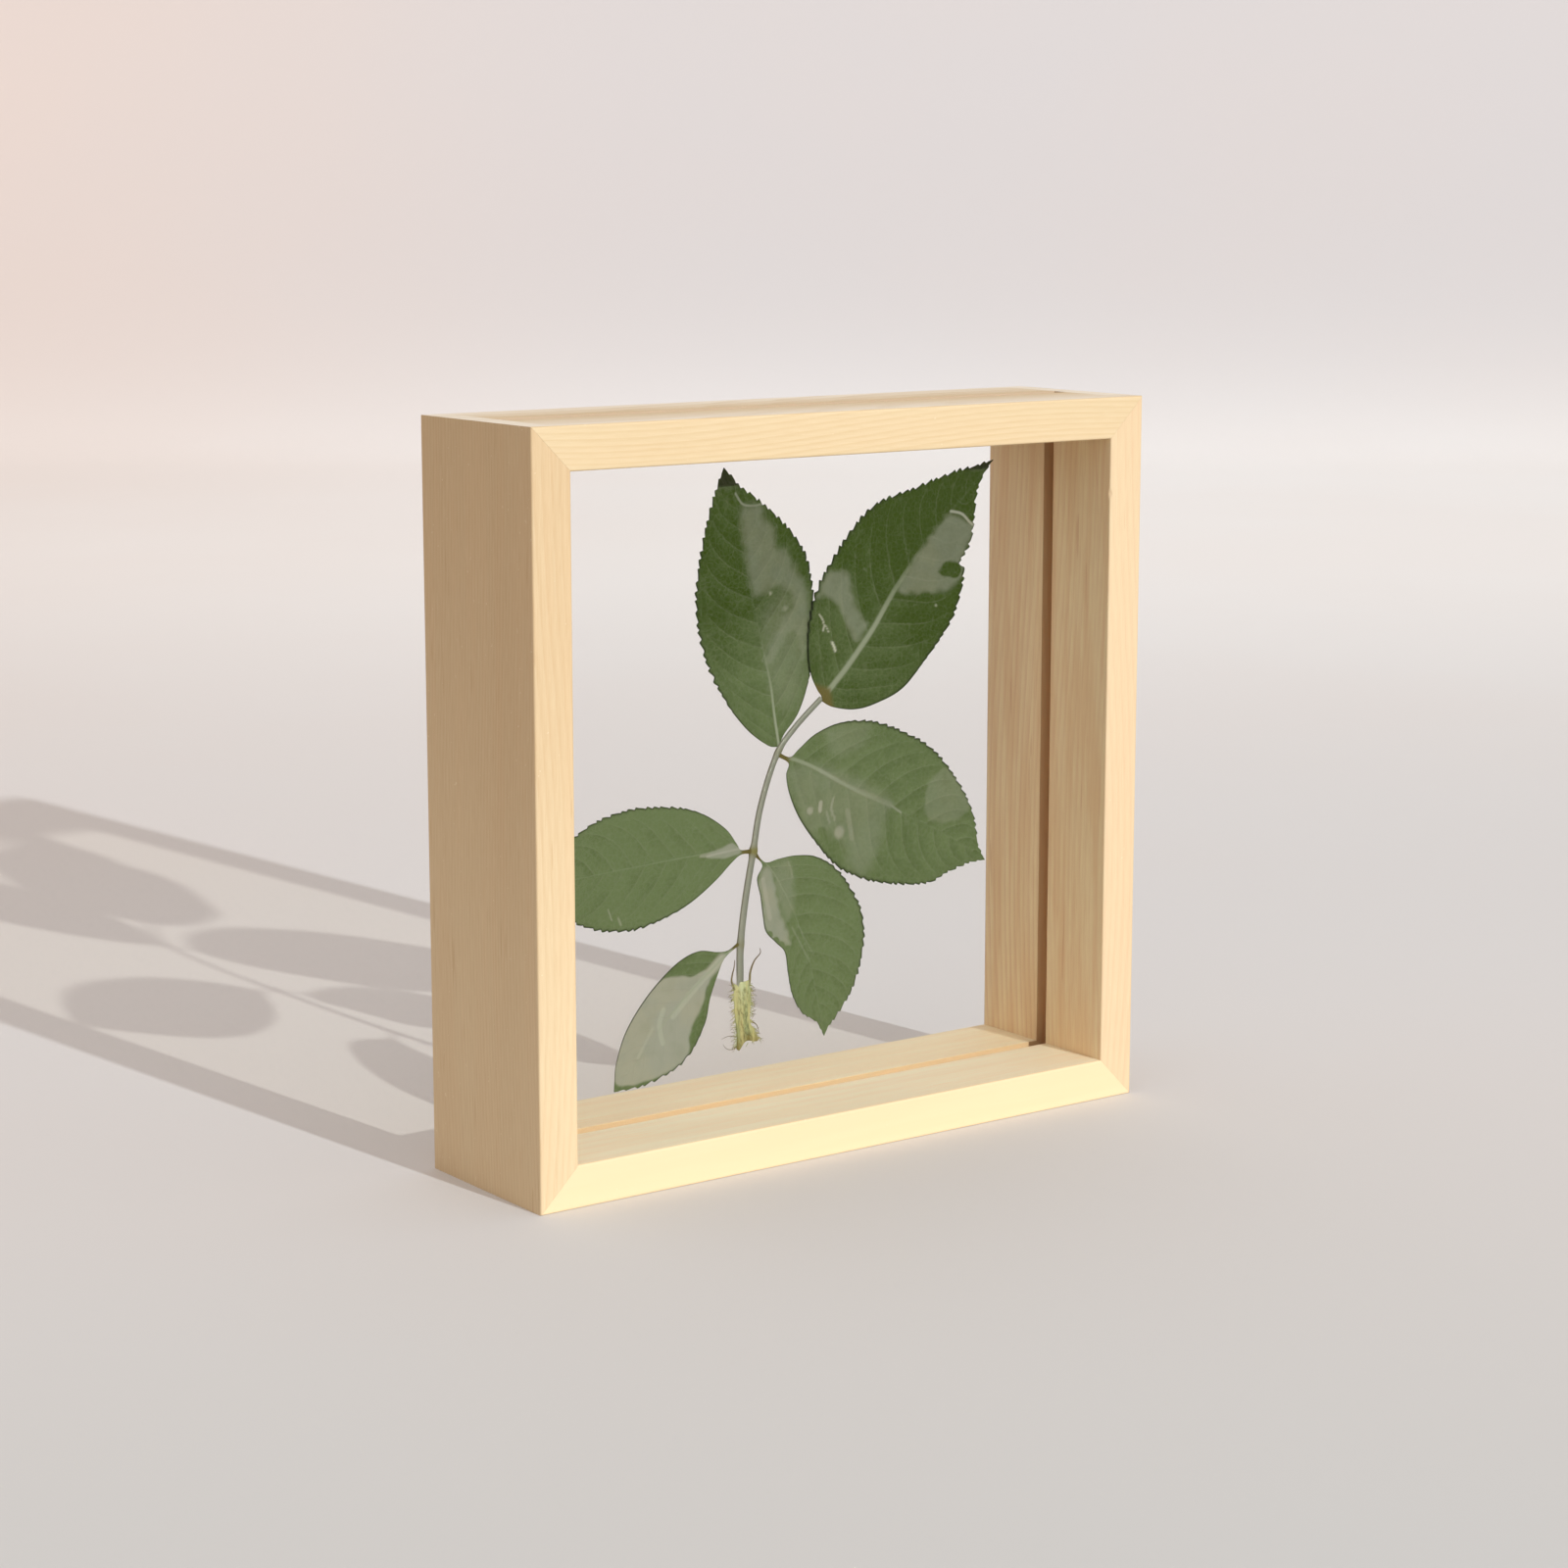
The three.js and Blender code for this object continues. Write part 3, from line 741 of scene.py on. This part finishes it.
             -45, 20.6, -43.1, 26.3, -39.9, 31, -35.7, 35.3],
        ],
        "spots": [],
        "streaks": [[-19, 39, -22, 36.6, -26, 33.4, -31, 28.8, 1.3, 1.2],
            [-33.4, 30.4, -34.4, 27.4, -33.6, 23.6, 1.1, 1.2], [-36, 27, -39.6, 21.6, 0.7, 1.15]],
    },
}


def bladeMaterial():
    material, place = startMaterial("leafBlade")
    names = ("rib", "phase", "across", "patch", "tone", "stalk")
    rib, phase, across, patch, tone, stalk = (attribute(place, name) for name in names)
    deep, fresh, pale, cool, margin = (
        linear(leafBlade[name + "Green"]) for name in ("deep", "fresh", "pale", "cool", "margin"))
    palest, ribTone, stalkTone = (linear(leafBlade[name + "Colour"]) for name in ("palest", "rib", "stalk"))
    toEdge = {"feature": "DISTANCE_TO_EDGE"}
    net = 1 - place.node("ShaderNodeTexVoronoi", toEdge, {"Vector": place, "Scale": 900}).step(0.0, 0.1)
    mottle = place.noise(150, detail=4)
    blotch = place.noise(420, detail=3)
    speck = place.noise(1600, detail=2)
    # a side vein wherever the phase is a whole number, fading out before the margin, and painted light and
    # shade between two veins, dark just past one and light towards the next, as on a quilted blade lit from
    # one side
    between = phase.math("FRACT")
    inner = (1 - across.step(0.7, 0.97)) * (1 - rib)
    vein = (between - 0.5).math("ABSOLUTE").step(0.43, 0.5) * inner
    green = (tone + (mottle - 0.5) * 0.65 + (speck - 0.5) * 0.55 + (between - 0.5) * inner * 0.26).limit()
    veined = (vein * 0.09 + net * 0.09).mix(green.mix(deep, fresh), pale)
    # painted sheen: pale, silvery patches where the leaf stands off the glass, nearly white where the patch
    # passes 1
    ragged = patch * (0.6 + mottle * 0.4 + blotch * 0.4)
    silver = place.noise(110, detail=2).step(0.42, 0.58).mix(pale, cool)
    patched = ragged.limit().mix(veined, silver)
    darkened = (ragged * -1).limit().mix(patched, deep)
    whitened = (patch - 1).step(0.0, 0.8).mix(darkened, palest)
    ribbed = rib.mix(whitened, ribTone)
    edged = (across.step(0.95, 1.0) * 0.9).mix(ribbed, margin)
    relief = vein * 0.5 + net * 0.25 + speck * 0.25 + mottle * 0.8
    colour = stalk.mix(edged, stalkTone)
    rough = 0.5 + ragged * 0.2
    return finishMaterial(material, coated(place, colour, rough, 0.06, relief, 0.45, 0.08 * mm))


def insideOutline(plane, corners):
    # Signed distance to a closed smooth outline, positive inside: the distance to the nearest side, with
    # its sign from how many sides a line to the right crosses.
    ring = alongSpline([*corners, *corners[:2]], np.linspace(0, 1, 3 * len(corners), endpoint=False))
    side = np.roll(ring, -1, axis=0) - ring
    away = plane[..., None, :] - ring
    share = np.clip((away * side).sum(-1) / (side**2).sum(-1), 0, 1)
    gap = np.linalg.norm(away - share[..., None] * side, axis=-1).min(-1)
    spans = (away[..., 1] < 0) != ((away - side)[..., 1] < 0)
    steep = np.where(side[:, 1] == 0, 1e-9, side[:, 1])
    crosses = spans & (away[..., 0] < away[..., 1] / steep * side[:, 0])
    return np.where(crosses.sum(-1) % 2 == 1, gap, -gap)


def toothedMargin(points, side, facts, shares):
    # The margin's spline, and how far a saw that leans to the tip pushes it out along its normal.
    line = alongSpline(points, shares)
    along = unit(np.gradient(line, axis=0))
    outward = np.stack([-along[:, 1], along[:, 0]], axis=-1) * side
    length = np.linalg.norm(np.diff(line, axis=0), axis=1).sum()
    pitch, depth = facts["teeth"]
    place = shares * max(round(length / pitch), 1)
    place = place + 0.16 * np.sin(1.9 * place + side) + 0.09 * np.sin(4.3 * place)
    phase = place % 1
    lean = leafBlade["toothLean"]
    saw = np.where(phase < lean, (phase / lean) ** 0.7, (1 - phase) / (1 - lean)) - 0.45
    size = depth * (0.8 + 0.5 * np.sin(2.4 * np.floor(place)) ** 2)
    plain = facts["plain"][0 if side > 0 else 1]
    reached = ramp(shares * length, plain * 0.6, plain * 1.3) * (1 - ramp(shares, 0.97, 0.99))
    return line, outward * (saw * reached * size)[:, None]


def bladeFields(plane, share, side, facts, ribLine, halfWidth, length):
    # The numbers that shape and colour a blade at each point of its grid.
    fromRib = np.abs(side)
    ribWidth, ribBase, ribTip, ribEnd = facts["rib"]
    ribHalf = ribWidth / 2 * (1.15 - 0.7 * share)
    distance = np.linalg.norm(plane - ribLine[:, None, :], axis=-1)
    pale = ribBase + (ribTip - ribBase) * ramp(share, ribEnd - 0.4, ribEnd)
    rib = np.exp(-((distance / ribHalf) ** 4)) * pale * (1 - ramp(share, 0.85, 1.0))
    slant = 0.8 * halfWidth / length * fromRib + 0.1 * fromRib**3
    phase = (share - slant + 0.02 * np.sign(side) + 0.008 * np.sin(9 * share + 4 * side)) * facts["veins"]
    patch = np.zeros(distance.shape)
    wobble = 0.2 * (np.sin(1.7 * plane[..., 0] + 1.1 * np.sin(1.3 * plane[..., 1]))
                    + np.sin(2.3 * plane[..., 1] + 1.4 * np.sin(0.9 * plane[..., 0])))
    for strength, softness, *outline in facts["patches"]:
        inside = insideOutline(plane, outline) + wobble * min(softness, 0.8)
        amount = strength * ramp(inside, -softness, softness)
        patch = np.maximum(patch, amount) if strength > 0 else patch * (1 + amount) + amount
    for x, z, radius, strength in facts["spots"]:
        away = np.linalg.norm(plane - [x, z], axis=-1) + 0.2 * wobble
        patch = patch + (strength - patch) * (1 - ramp(away, 0.5 * radius, 1.2 * radius))
    for *path, halfLine, strength in facts["streaks"]:
        line = alongSpline(path, np.linspace(0, 1, 30))
        away = np.linalg.norm(plane[..., None, :] - line, axis=-1).min(-1)
        patch = np.maximum(patch, strength * (1 - ramp(away, 0.4 * halfLine, 1.3 * halfLine)))
    toneBase, toneTip = facts["tone"]
    tone = np.broadcast_to(toneBase + (toneTip - toneBase) * ramp(share, 0.2, 0.62), patch.shape)
    bare = facts["rib"][1] < 0.8
    stalk = np.broadcast_to((1 - ramp(share, 0.03, 0.055)) * bare, patch.shape)
    return {"rib": rib, "phase": phase, "across": np.broadcast_to(fromRib, patch.shape),
            "patch": patch, "tone": tone, "stalk": stalk}


def makeLeaflet(name, facts, material):
    # Rows run from the stalk to the tip, each from the left margin over the midrib to the right one.
    base, tip = np.array(facts["base"], float), np.array(facts["tip"], float)
    left, right, middle = (np.reshape(facts[key], (-1, 2)) for key in ("left", "right", "middle"))
    along = unit((left[0] + right[0]) / 2 - base)
    halfStalk = np.array([-along[1], along[0]]) * facts["stalkWidth"] / 2
    rough = alongSpline([base, *left, tip], np.linspace(0, 1, 50))
    length = np.linalg.norm(np.diff(rough, axis=0), axis=1).sum()
    rows = int(length / (leafBlade["rowSpacing"] / mm))
    shares = np.linspace(0, 0.998, rows)
    ribLine = alongSpline([base, *middle, tip], shares)
    leftLine, leftTeeth = toothedMargin([base + halfStalk, *left, tip], 1, facts, shares)
    rightLine, rightTeeth = toothedMargin([base - halfStalk, *right, tip], -1, facts, shares)
    # columns stand closer at the midrib and at the margin
    even = np.linspace(0, 1, leafBlade["columnsPerSide"] + 1)
    spread = even - 0.1 * np.sin(2 * math.pi * even)
    side = np.concatenate([-spread[::-1], spread[1:]])[None, :]
    onLeft = (side < 0)[..., None]
    reach = np.where(onLeft, (leftLine - ribLine)[:, None, :], (rightLine - ribLine)[:, None, :])
    teethPush = np.where(onLeft, leftTeeth[:, None, :], rightTeeth[:, None, :])
    amount = np.abs(side)[..., None]
    plane = ribLine[:, None, :] + reach * amount + teethPush * ramp(amount, 0.9, 1.0)
    halfWidth = np.linalg.norm(reach, axis=-1)
    fields = bladeFields(plane, shares[:, None], side, facts, ribLine, halfWidth, length)
    veinGap = np.abs((fields["phase"] + 0.5) % 1 - 0.5) * length / facts["veins"]
    vein = np.exp(-((veinGap / (leafBlade["veinWidth"] / mm)) ** 2)) * (1 - ramp(np.abs(side), 0.7, 0.97))
    wave = 0.5 + 0.5 * np.sin(plane[..., 0] * 0.55 + 1.3 * np.sin(plane[..., 1] * 0.31))
    thin = (leafBlade["thickness"] - leafBlade["marginThickness"]) * np.abs(side) ** 6
    halfThick = (leafBlade["thickness"] - thin) / 2
    halfThick = halfThick + fields["rib"] * leafBlade["ribHeight"] * 0.8 + vein * leafBlade["veinHeight"]
    layer = leafBlade[facts["layer"]]
    sink = (0.6 * wave + np.clip(fields["patch"], 0, 1) * 0.4) * leafBlade["sink"] * -np.sign(layer)
    points, faces = sheet(plane, layer + sink, halfThick)
    values = {key: np.concatenate([field, field[:, ::-1]], axis=1) for key, field in fields.items()}
    piece = makePiece(name + "_blade", points, faces, material, values)
    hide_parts(name)
    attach(piece, "glazing")
    return piece


leafMaterial = bladeMaterial()
for leafletName, leafletFacts in leaflets.items():
    makeLeaflet(leafletName, leafletFacts, leafMaterial)
print("leaflets made")


# Leaf stem and the stipules at its foot

leafStem = {
    "line": [-14.3, 32.6, -14.3, 34, -14.2, 41, -13, 50, -11, 60, -9, 69.5, -5.1, 79.3, -0.5, 84.6, 6.2, 90],
    "footWidth": 1.7,
    "endWidth": 1.15,
    "thickness": 0.76,
    "joints": [[41.3, 0.12, 0.4], [60.2, 0.35, 1.0], [80.0, 0.16, 0.25]],  # height, swelling, how olive
    "rings": 220,
    "sides": 24,
    "colour": (118, 120, 106),
    "litSideColour": (146, 146, 130),
    "shadeColour": (82, 86, 68),
    "oliveColour": (104, 98, 44),
}

stipuleFoot = {
    "top": [-15.9, 33.4, -15.1, 33, -14.3, 33.8, -13.2, 33.4, -12.1, 33.6],
    "right": [-9.9, 20.4, -9.75, 21.1, -10.7, 22.6, -11.8, 24.8, -11.8, 27, -11.5, 29, -11.7, 31.5,
        -12.1, 33.6],
    "bottom": [-15.3, 19.6, -14.9, 19.2, -14.5, 19.1, -13.9, 19.8, -13.3, 20.5, -12.7, 20.8, -12.1, 20.8,
        -11.3, 20.6, -10.5, 20.4, -9.9, 20.4],
    "left": [-15.3, 19.6, -15.15, 21.8, -15.4, 24.5, -15.7, 27, -15.8, 29, -15.9, 31.5, -15.9, 33.4],
    # each with its width: two barbs that reach up beside the stem, then torn strands
    "strands": [
        (0.55, [-12.2, 32.4, -11.9, 33.4, -11.7, 35.3, -10.7, 37.4, -9.2, 38.8, -9.35, 39.8]),
        (0.5, [-15.7, 32, -16.4, 33.9, -16.2, 35.3, -15.8, 36.6, -15.6, 38.2]),
        (0.26, [-11.9, 25.1, -10.3, 24, -9.7, 22.6, -9.7, 21.8]),
        (0.2, [-15.2, 22.1, -17.2, 22.5, -19, 22.1]),
        (0.2, [-15.2, 19.9, -16.8, 19.6, -17.9, 20.1, -18.6, 21]),
    ],
    "thickness": 0.24,
    "ridge": 0.3,
    "hairs": 220,
    "hairLength": 1.6,
    "hairWidth": 0.16,
    "yellow": (176, 168, 114),
    "green": (150, 158, 110),
    "crownColour": (184, 188, 146),
    "olive": (110, 96, 40),
    "tipColour": (92, 74, 48),
    "seed": 7,
}


def stemMaterial():
    material, place = startMaterial("leafStem")
    olive, around = attribute(place, "olive"), attribute(place, "around")
    fibre = place.noise(900, detail=3, stretch=(1, 1, 0.06))
    mottle = place.noise(240, detail=2)
    # painted light and shade: one edge of the stem lit, the other in shade
    shaded = around.step(0.15, 0.95).mix(linear(leafStem["litSideColour"]), linear(leafStem["shadeColour"]))
    plain = (0.5 + (fibre - 0.5) * 0.8).mix(linear(leafStem["colour"]), shaded)
    stained = (olive + (mottle - 0.5) * 0.5 * olive.step(0.0, 0.2)).limit()
    colour = stained.mix(plain, linear(leafStem["oliveColour"]))
    rough = 0.55 + (fibre - 0.5) * 0.2
    return finishMaterial(material, coated(place, colour, rough, 0.35, fibre, 0.5, 0.08 * mm))


def tubeRings(path, across, halfWidth, halfThick, sides):
    # Rings round a path [x, z] that keep to the plane of the glass: an oval, wide across and thin in depth.
    angle = np.linspace(0, 2 * math.pi, sides, endpoint=False)
    wide = np.sign(np.cos(angle)) * np.abs(np.cos(angle)) ** 0.8
    deep = np.sign(np.sin(angle)) * np.abs(np.sin(angle)) ** 0.8
    plane = path[..., None, :] + across[..., None, :] * (halfWidth[..., None] * wide)[..., None]
    depth = np.broadcast_to(halfThick, path.shape[:-1])[..., None] * deep
    return np.stack([plane[..., 0], depth, plane[..., 1]], axis=-1) * mm


def makeStem():
    shares = np.linspace(0, 1, leafStem["rings"])
    path = alongSpline(leafStem["line"], shares)
    along = unit(np.gradient(path, axis=0))
    across = np.stack([along[:, 1], -along[:, 0]], axis=-1)
    halfWidth = (leafStem["footWidth"] + (leafStem["endWidth"] - leafStem["footWidth"]) * shares) / 2
    olive = np.zeros(len(shares))
    for height, swelling, stain in leafStem["joints"]:
        near = np.exp(-(((path[:, 1] - height) / 1.0) ** 2))
        halfWidth = halfWidth + swelling * near
        olive = np.maximum(olive, stain * near)
    sides = leafStem["sides"]
    # its foot sinks into the stipules
    halfThick = leafStem["thickness"] / 2 * (0.45 + 0.55 * ramp(path[:, 1], 32.6, 36))
    points = tubeRings(path, across, halfWidth, halfThick, sides)
    angle = np.linspace(0, 2 * math.pi, sides, endpoint=False)
    # which edge of the stem the painted light and the painted shade go to
    around = np.tile(0.5 + 0.5 * np.cos(angle), (len(shares), 1))
    faces = tubeFaces(len(shares), sides)
    values = {"olive": np.repeat(olive, sides), "around": around}
    piece = makePiece("rachis_stem", points, faces, stemMaterial(), values)
    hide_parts("rachis")
    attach(piece, "glazing")


def stipuleMaterial():
    material, place = startMaterial("stipule")
    height, hair, spine = (attribute(place, name) for name in ("height", "hair", "spine"))
    streak = place.noise(1400, detail=3, stretch=(1, 1, 0.12))
    mottle = place.noise(420, detail=3)
    plain = streak.step(0.35, 0.65).mix(linear(stipuleFoot["yellow"]), linear(stipuleFoot["green"]))
    body = (height.step(0.6, 1.0) * 0.3 + spine * 0.6).mix(plain, linear(stipuleFoot["crownColour"]))
    foot = (1 - height.step(0.0, 0.3)) * 0.7 + (mottle - 0.5) * 1.1 + (streak - 0.5) * 1.4
    stained = foot.limit().mix(body, linear(stipuleFoot["olive"]))
    colour = hair.step(0.3, 1.0).mix(stained, linear(stipuleFoot["tipColour"]))
    return finishMaterial(material, coated(place, colour, 0.6, 0.3, streak, 0.6, 0.08 * mm))


def stipuleBlade():
    # A patch blended between its four edges: bottom and top by height, left and right by width, less the
    # blend of its corners. It is folded thickest along the middle, where the stem ends in it.
    u, v = np.linspace(0, 1, 61), np.linspace(0, 1, 121)
    low, high = (alongSpline(stipuleFoot[key], u)[None] for key in ("bottom", "top"))
    left, right = (alongSpline(stipuleFoot[key], v)[:, None] for key in ("left", "right"))
    up, wide = v[:, None, None], u[None, :, None]
    lowEnds, highEnds = ((1 - wide) * edge[:, :1] + wide * edge[:, -1:] for edge in (low, high))
    corners = (1 - up) * lowEnds + up * highEnds
    plane = (1 - up) * low + up * high + (1 - wide) * left + wide * right - corners
    u, v = u[None, :], v[:, None]
    middle = np.exp(-(((u - 0.5) / 0.17) ** 2)) * ramp(v, 0.15, 0.7)
    folds = 0.06 * np.sin(26 * u + 3 * v) + 0.04 * np.sin(61 * u - 5 * v)
    edge = np.minimum(np.minimum(u, 1 - u) * 12, np.minimum(v, 1 - v) * 20).clip(0, 1) ** 0.5
    ridge = stipuleFoot["ridge"] / 2 * middle + folds * (1 - middle)
    points, faces = sheet(plane, 0, ((stipuleFoot["thickness"] / 2 + ridge) * edge + 0.02) * mm)
    height = np.broadcast_to(v, points.shape[:2])
    spine = np.concatenate([middle, middle[:, ::-1]], axis=1) * ramp(v, 0.4, 0.9)
    return points.reshape(-1, 3), faces, height.ravel(), spine.ravel()


def thinStrands(paths, depth, widths, sides):
    # Tapering tubes along many paths at once: paths is strands x steps x [x, z], depth the strands' own y.
    strands, steps = paths.shape[:2]
    along = unit(np.gradient(paths, axis=1))
    across = np.stack([along[..., 1], -along[..., 0]], axis=-1)
    taper = 1 - 0.75 * np.linspace(0, 1, steps)
    half = widths[:, None] / 2 * taper
    rings = tubeRings(paths, across, half, half * 0.8, sides)
    rings[..., 1] += depth[..., None] * mm
    one = tubeFaces(steps, sides)
    faces = [[k + s * steps * sides for k in face] for s in range(strands) for face in one]
    tip = np.broadcast_to(np.linspace(0, 1, steps)[None, :, None], rings.shape[:3])
    return rings.reshape(-1, 3), faces, tip.ravel()


def makeStipules():
    # The blade, its strands, and gland hairs rooted along both sides and over its face.
    random = np.random.default_rng(stipuleFoot["seed"])
    count = stipuleFoot["hairs"]
    height = random.uniform(0.02, 0.95, count)
    outward = np.where(np.arange(count) % 2, 1.0, -1.0)
    onFace = random.uniform(0, 1, count) < 0.35
    left, right = (alongSpline(stipuleFoot[key], height) for key in ("left", "right"))
    place = np.where(onFace, random.uniform(0.15, 0.85, count), (outward + 1) / 2)[:, None]
    root = left * (1 - place) + right * place
    lean = random.normal(-0.35, 0.45, count)
    heading = unit(np.stack([outward * np.where(onFace, 0.4, 1.0), lean - onFace * 0.9], axis=-1))
    bend = np.stack([-heading[:, 1], heading[:, 0]], axis=-1) * random.normal(0, 0.35, count)[:, None]
    long = stipuleFoot["hairLength"] * random.uniform(0.45, 1.0, count) * np.where(onFace, 0.6, 1.0)
    t = np.linspace(0, 1, 7)[:, None]
    hairPaths = root[:, None] + long[:, None, None] * (heading[:, None] * t + bend[:, None] * t**2)
    hairDepth = np.where(onFace, -0.3, random.uniform(-0.12, 0.12, count))[:, None] * np.ones(7)
    widths = stipuleFoot["hairWidth"] * random.uniform(0.7, 1.2, count)
    hairs, hairFaces, hairTips = thinStrands(hairPaths, hairDepth, widths, 5)
    steps = np.linspace(0, 1, 20)
    strandPaths = np.stack([alongSpline(strand, steps) for _, strand in stipuleFoot["strands"]])
    strandWidths = np.array([width for width, _ in stipuleFoot["strands"]])
    flat = np.zeros(strandPaths.shape[:2])
    strands, strandFaces, strandTips = thinStrands(strandPaths, flat, strandWidths, 10)
    blade, bladeFaces, bladeHeight, bladeSpine = stipuleBlade()
    points = np.vstack([blade, strands, hairs])
    first = len(blade)
    second = first + len(strands)
    faces = bladeFaces + [[k + first for k in face] for face in strandFaces]
    faces += [[k + second for k in face] for face in hairFaces]
    values = {
        "height": np.concatenate([bladeHeight, np.full(len(strands), 0.5), np.full(len(hairs), 0.6)]),
        "hair": np.concatenate([np.zeros(len(blade)), 0.65 + strandTips * 0.35, hairTips]),
        "spine": np.concatenate([bladeSpine, np.zeros(len(strands) + len(hairs))]),
    }
    piece = makePiece("stipule_fringe", points, faces, stipuleMaterial(), values)
    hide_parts("stipules")
    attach(piece, "glazing")


makeStem()
makeStipules()
print("stem and stipules made")
